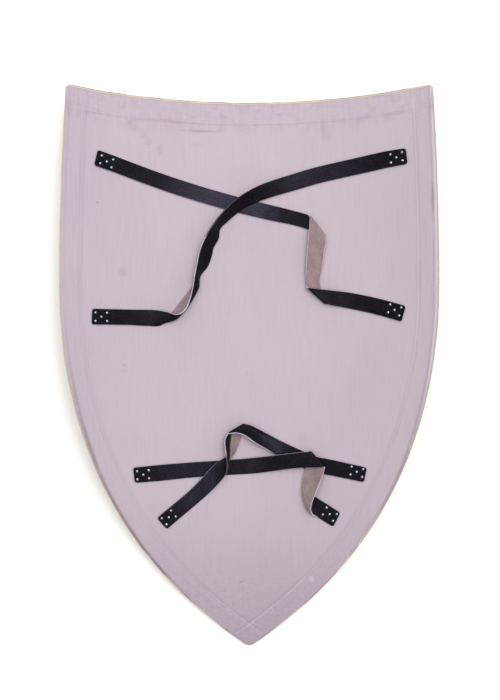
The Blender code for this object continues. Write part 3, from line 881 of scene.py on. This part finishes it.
def streaked_band(g):
    """The turned-over canvas shows through the paint along the rim, streaked and greyer than the board."""
    side_streaks = g.streaks(g.side, 330, 11)
    g.lay(PAINT_GRIME_AND_SHADE, g.in_band, g.ramp(side_streaks, 0.4, 0.75, 0, 0.17))
    blue_streaks = g.streaks(g.side, 210, 6)
    g.lay(PAINT_BLUE, g.in_band, g.ramp(blue_streaks, 0.5, 0.75, 0, 0.11))

    in_top = g.ramp(g.plus(g.top, g.sway), TOP_BAND_WIDTH + 0.004, TOP_BAND_WIDTH + 0.022, 1, 0)
    top_streaks = g.streaks(g.u, 190, 22)
    g.lay(MAUVE, in_top, g.ramp(top_streaks, 0.42, 0.75, 0, 0.16))
    blotches = g.patches((55, 75), 5, 0.65, 0.4)
    g.lay(MAUVE, in_top, g.ramp(blotches, 0.45, 0.8, 0, 0.30))


def band_edges(g):
    """Along each inner edge of the band, where the turned-over canvas ends in a step: a painted highlight
    and a painted shade line, sharp near the tip.
    """
    high_up = g.ramp(g.y, -0.08, 0.06, 0.15, 1)
    # The third and fourth columns are the strengths of the painted highlight and of the painted shade along
    # each edge.
    for edge, place, pale, shade_strength, sharp_below in (
        (g.right, BAND_WIDTH, 0.34, 0.11, -0.26),
        (g.left, BAND_WIDTH, 0.04, 0.09, -0.32),
        (g.top, TOP_BAND_WIDTH, 0.08, 0.18, -0.26),
    ):
        low_down = g.ramp(g.y, sharp_below - 0.08, sharp_below, 1, 0)
        swayed = g.times(g.sway, 0.3, plus=edge)
        if edge is g.top:
            swayed = g.plus(swayed, g.ramp(g.u, -0.10, 0.22, 0, 0.004))
            breaks = g.ramp(g.patches((34, 21), 3, 0.65), 0.4, 0.62)
            shade_strength = g.times(breaks, 0.7 * shade_strength, plus=0.3 * shade_strength)
        # A painted highlight along the band's edge, and a painted shade line at the foot of its step.
        light = g.times(g.line(swayed, place - 0.0011, 0.0016), g.ramp(g.wobble, 0.35, 0.6, 0.5, 1))
        shade_line = g.times(g.line(swayed, place + 0.0018, 0.0026), g.ramp(g.wobble, 0.35, 0.6, 0.3, 1))
        highlight_share = g.times(low_down, 0.65, plus=g.times(high_up, pale))
        g.lay(PAINT_PALE, light, highlight_share)
        g.lay(MAUVE, shade_line, g.times(low_down, 0.20, plus=shade_strength))

    # A bluish painted shade line beside the left band's edge, high up, and a second pale line near the tip.
    blue_line = g.times(g.line(g.left, BAND_WIDTH + 0.002, 0.004), g.ramp(g.y, 0.08, 0.16))
    g.lay(PAINT_BLUE, blue_line, 0.11)
    second_line = g.line(g.times(g.sway, 0.3, plus=g.left), BAND_WIDTH * 0.8, 0.0014)
    near_the_tip = g.ramp(g.y, -0.37, -0.33, 1, 0)
    g.lay(PAINT_PALE, second_line, g.times(near_the_tip, 0.20))


def upper_sides(g):
    """Up the upper sides, painted rim shade: bluish on the left; on the right, a pale highlight with darker
    shade inside.
    """
    upper_half = g.ramp(g.y, -0.12, 0.06)
    for line, strength, tint in (
        (g.line(g.left, 0.0020, 0.0040), 0.30, PAINT_BLUE),
        (g.line(g.right, 0.0032, 0.0042), 0.30, MAUVE),
        (g.line(g.times(g.sway, 0.35, plus=g.right), 0.0004, 0.0018), 0.34, PAINT_PALE),
    ):
        uneven = g.times(line, g.ramp(g.wobble, 0.3, 0.55, 0.45, 1))
        g.lay(tint, uneven, g.times(upper_half, strength))


def worn_tip(g):
    """The turned-over canvas is scuffed near the tip and dabbed unevenly with grime, and the surface is
    darker towards the tip, a painted shade where the light falls off.
    """
    scuffs = g.patches((230, 420), 3, 0.65, 0.5)
    scuffed = g.times(g.in_band, g.ramp(g.y, -0.38, -0.20, 1, 0.15))
    g.lay(PAINT_BLUE, scuffed, g.ramp(scuffs, 0.52, 0.72, 0, 0.42))
    g.lay(PAINT_PALE, scuffed, g.ramp(scuffs, 0.30, 0.46, 0.36, 0))

    dabs = g.patches((130, 200), 4, 0.7, 0.6)
    dabbed = g.times(g.ramp(g.y, -0.40, -0.25, 1, 0), g.ramp(dabs, 0.46, 0.70, 0, 0.34))
    g.lay(MAUVE, dabbed)
    # Painted shade: darker and bluer towards the tip, where the light falls off.
    g.lay(PAINT_GRIME_AND_SHADE, g.ramp(g.y, -0.42, -0.16, 0.44, 0))
    g.lay(PAINT_BLUE, g.in_band, g.ramp(g.y, -0.42, -0.15, 0.08, 0))
    g.lay(MAUVE, g.ramp(g.y, -0.43, -0.375, 0.22, 0))


def stained(g):
    """Ragged stains, each strongest in its middle."""
    rag = g.times(g.patches((150, 150), 4, 0.7), 2, plus=-1)
    for centre, radii, turn, strength, tint in STAINS:
        centre, radii = Vector((*centre, 0)) * MM, (*(r * MM for r in radii), 1)
        placed = g.node("ShaderNodeMapping", {
            "Vector": g.flat, "Location": centre, "Rotation": (0, 0, turn), "Scale": radii,
        }, vector_type="TEXTURE").outputs["Vector"]
        distance = g.node("ShaderNodeVectorMath", {0: placed}, operation="LENGTH").outputs["Value"]
        spot = g.ramp(g.plus(distance, rag), 0.3, 1.35, 1, 0)
        g.lay(tint, spot, strength)


def lower_sides(g):
    """Lower sides: a painted shade line follows the rounded rim, deeper on the left, and the edge is
    rubbed.
    """
    inset = g.ramp(g.y, -0.20, 0, 0.0006, 0.0030)
    brown_or_mauve = g.mix(g.ramp(g.soiled, 0.40, 0.60, 0.25, 0.75), BROWN, MAUVE)
    for edge, most, lowest in ((g.left, 0.92, -0.37), (g.plus(g.right, 0.0007), 0.78, -0.30)):
        strength = g.times(g.ramp(g.y, -0.20, 0.10, most, 0), g.ramp(g.y, lowest, lowest + 0.06))
        # Painted shade along the rounded rim, where it turns away below.
        rim_shade = g.line(g.times(g.sway, 0.3, plus=edge), inset, 0.0045)
        rim_shade = g.times(rim_shade, g.ramp(g.wobble, 0.3, 0.55, 0.7, 1))
        g.lay(brown_or_mauve, rim_shade, strength)

    rubbed = g.ramp(g.times(g.sway, 0.4, plus=g.side), 0.0001, 0.0016, 1, 0)
    lower_half = g.ramp(g.y, -0.30, -0.12, 0.75, 0)
    tan_or_brown = g.mix(g.ramp(g.soiled, 0.44, 0.56), BARE_CANVAS_SOILED, BARE_CANVAS)
    g.lay(tan_or_brown, rubbed, lower_half)


def bare_canvas(g):
    """Undyed canvas: faintly stained, dulled by handling round the rim, and with a painted brown shade
    along the top edge.
    """
    threads = g.patches((700, 700), 2, 0.6)
    g.colour = g.mix(g.ramp(threads, 0.3, 0.7, 0, 0.6), BARE_CANVAS, BARE_CANVAS_DARK)
    g.lay(BARE_CANVAS_DARK, g.ramp(g.soiled, 0.4, 0.75, 0, 0.35))
    on_the_rim = g.ramp(g.lift, -0.0075, -0.0055)
    soil_and_sheen = g.times(g.ramp(g.u, -0.20, 0.26, 0.05, 0.42), on_the_rim)
    g.lay(BARE_CANVAS_SOILED, soil_and_sheen, g.ramp(g.top, 0, 0.03))
    # Painted shade: a brown line along the outer part of the top rim, where it turns away.
    top_rim_shade = g.times(g.ramp(g.top, 0, 0.0012, 0.85, 0), g.ramp(g.wobble, 0.38, 0.56, 0.25, 1))
    g.lay(BROWN, top_rim_shade, on_the_rim)


def painted_surface(name):
    """Thin matt paint over canvas or board, with bare canvas beyond the rim."""
    g = PaintedGraph(name)
    paint_height, roughness = brushed_paint(g)
    for layer in (streaked_band, band_edges, upper_sides, worn_tip, stained, lower_sides):
        layer(g)

    # The paint goes a little way round the rim, but not over the top edge, and ends in a darker line.
    reach = g.times(g.lift, 1.6, plus=g.times(g.sway, 0.25, plus=PAINT_REACH))
    top_reach = g.times(g.sway, 0.22, plus=g.plus(g.top, -TOP_PAINT_INSET))
    painted = g.times(*(g.ramp(r, -PAINT_END_BLUR, PAINT_END_BLUR) for r in (reach, top_reach)))
    end_line = g.times(painted, g.ramp(g.math("MINIMUM", reach, top_reach), 0.0003, 0.0016, 1, 0))
    darkness = g.times(g.ramp(g.top, 0.004, 0.010), -0.10, plus=0.25)
    g.lay(BROWN, end_line, darkness)

    paint = g.colour
    bare_canvas(g)
    weave = g.times(*(g.math("SINE", g.times(place, 2 * math.pi / WEAVE_PITCH)) for place in (g.u, g.y)))
    height = g.plus(g.times(weave, g.times(painted, -0.25, plus=0.5)), paint_height)
    return g.shade({
        "Base Color": g.mix(painted, g.colour, paint), "Roughness": roughness,
        "Specular IOR Level": 0.3, "Normal": g.bump(height, 0.00012, 0.6),
    })


# ---------------- leather and steel
def grain_leather():
    """Top side, black with dye: pebbled grain, fine creases, lighter rubbed edges, and a painted sheen."""
    g = Graph("leather_grain")
    strap = g.map("strap", (1, 1))
    creases = g.noise(g.map("strap", (260, 900)), 4, 0.6, 1)
    broad = g.noise(g.map("strap", (45, 60)), 3, 0.5)
    mottle = g.noise(g.map("strap", (330, 400)), 4, 0.7)
    g.colour = g.mix(g.ramp(broad, 0.3, 0.7), srgb(4, 3, 4), srgb(13, 11, 14))
    g.lay(srgb(38, 34, 44), g.ramp(creases, 0.45, 0.75), 0.3)
    # Painted sheen: bluish mottling all over, and lighter, bluer stretches along each strap where the lamps
    # would catch it.
    g.lay(srgb(46, 41, 53), g.ramp(mottle, 0.50, 0.68, 0, 0.55))
    painted_sheen = g.times(g.ramp(mottle, 0.34, 0.68, 0.2, 0.62), g.ramp(broad, 0.25, 0.6, 0.5, 1))
    g.lay(srgb(76, 71, 92), painted_sheen, g.attribute("soil_and_sheen"))
    across = g.node("ShaderNodeSeparateXYZ", {0: strap}).outputs["Y"]
    from_edge = g.math("MINIMUM", across, g.math("SUBTRACT", STRAP_WIDTH, across))
    rubbed = g.times(g.ramp(from_edge, 0, 0.0018, 1, 0), g.ramp(broad, 0.4, 0.65))
    g.lay(srgb(74, 69, 80), rubbed, 0.3)
    return g.shade({
        "Base Color": g.colour, "Roughness": g.ramp(broad, 0.25, 0.75, 0.36, 0.5),
        "Specular IOR Level": 0.10, "Specular Tint": (0.84, 0.80, 1.0, 1.0),
        "Normal": g.bump(g.plus(g.cells(strap, 900), g.times(creases, 0.8)), 0.00025, 0.4),
    })


def suede_leather():
    """The undyed flesh side: a short nap, darker where it is soiled, and black in a ragged stripe beside an
    edge where listed.
    """
    g = Graph("leather_flesh")
    nap = g.noise(g.map("strap", (1600, 1300)), 3, 0.7)
    fibres = g.noise(g.map("strap", (220, 700)), 4, 0.6, 0.6)
    broad = g.noise(g.map("strap", (60, 90)), 2, 0.5)
    g.colour = g.mix(g.ramp(broad, 0.25, 0.75), srgb(153, 134, 134), srgb(138, 117, 118))
    g.lay(srgb(104, 86, 90), g.ramp(nap, 0.3, 0.7, 0, 0.42))
    g.lay(srgb(172, 155, 156), g.ramp(fibres, 0.45, 0.7, 0, 0.4))
    ragged = g.times(fibres, 0.16, plus=g.attribute("flesh_black"))
    g.lay(srgb(27, 23, 28), g.ramp(ragged, 0.76, 0.84))
    return g.shade({
        "Base Color": g.colour, "Roughness": 0.95, "Specular IOR Level": 0.1,
        "Normal": g.bump(g.plus(nap, fibres), 0.0004, 0.6),
    })


def cut_leather():
    """The cut edge between the two sides: pale fibres, with some of the black dye run onto it."""
    g = Graph("leather_edge")
    fibres = g.noise(g.map("strap", (300, 2500)), 3, 0.6)
    dye = g.noise(g.map("strap", (90, 300)), 3, 0.6)
    g.colour = g.mix(g.ramp(fibres, 0.3, 0.7), srgb(196, 188, 206), srgb(176, 166, 184))
    g.lay(srgb(96, 88, 100), g.ramp(dye, 0.60, 0.74, 0, 0.45))
    g.lay(srgb(40, 36, 46), g.attribute("edge_dyed"), 0.9)
    return g.shade({
        "Base Color": g.colour, "Roughness": 0.85, "Specular IOR Level": 0.2,
        "Normal": g.bump(fibres, 0.0003, 0.5),
    })


def nail_steel():
    g = Graph("nail_steel")
    place = g.node("ShaderNodeTexCoord", {}).outputs["Object"]
    marks = g.noise(place, 3, 0.6, scale=900)
    return g.shade({
        "Base Color": g.mix(g.ramp(marks, 0.35, 0.7), srgb(186, 194, 210), srgb(128, 134, 150)),
        "Roughness": g.ramp(marks, 0.3, 0.7, 0.18, 0.4), "Metallic": 1.0,
        "Normal": g.bump(marks, 0.0002, 0.4),
    })


# ---------------- floor, lights and camera
FLOOR_HALF_SIZE = 6
WORLD_STRENGTH = 0.59
CAMERA_PLACE = (0.001, 0.038, 1.30)
CAMERA_LENS = 42
CAMERA_SENSOR = 36


def make_floor():
    bm = bmesh.new()
    corners = [(-1, -1), (1, -1), (1, 1), (-1, 1)]
    bm.faces.new([bm.verts.new((x * FLOOR_HALF_SIZE, y * FLOOR_HALF_SIZE, 0)) for x, y in corners])
    mesh = bpy.data.meshes.new("floor")
    bm.to_mesh(mesh)
    bm.free()
    mesh.materials.append(Graph("floor").shade({"Base Color": (0.97, 0.97, 0.97, 1.0), "Roughness": 0.9}))
    add_object("floor", mesh)


def make_light(name, place, target, size, energy):
    """A square area light that faces its target."""
    data = bpy.data.lights.new(name, "AREA")
    data.energy = energy
    data.size = size
    light = add_object(name, data)
    light.location = place
    light.rotation_euler = (Vector(target) - light.location).to_track_quat("-Z", "Y").to_euler()


def light_the_scene():
    world = bpy.data.worlds.new("studio")
    bpy.context.scene.world = world
    world.use_nodes = True
    background = world.node_tree.nodes["Background"]
    background.inputs["Color"].default_value = (1.0, 1.0, 1.0, 1.0)
    background.inputs["Strength"].default_value = WORLD_STRENGTH
    make_light("key", place=(0.12, 0.44, 2.1), target=(0, 0, 0), size=2.8, energy=31.1)
    make_light("sheen", place=(0.42, 0.55, 2.3), target=(0, 0.15, 0), size=0.5, energy=15)
    bpy.context.scene.view_settings.view_transform = "Standard"


def make_camera():
    """Straight above, with the top edge of the shield at the top of the view."""
    data = bpy.data.cameras.new("camera")
    data.lens = CAMERA_LENS
    data.sensor_width = CAMERA_SENSOR
    camera = add_object("camera", data)
    camera.location = CAMERA_PLACE
    bpy.context.scene.camera = camera


# ---------------- assembly
def main():
    make_board(painted_surface("painted_wood"))
    make_canvas(painted_surface("painted_canvas"))
    leathers = [grain_leather(), suede_leather(), cut_leather()]     # as GRAIN, FLESH and CUT_EDGE
    steel = nail_steel()
    nails = [nail_mesh(steel, seed) for seed in (1.0, 4.0, 9.0)]
    for name, route in STRAP_ROUTES.items():
        make_strap(name, route, NAIL_STARTS[name], leathers)
        make_nails(name, route, NAIL_STARTS[name], nails)
    make_floor()
    light_the_scene()
    make_camera()


main()
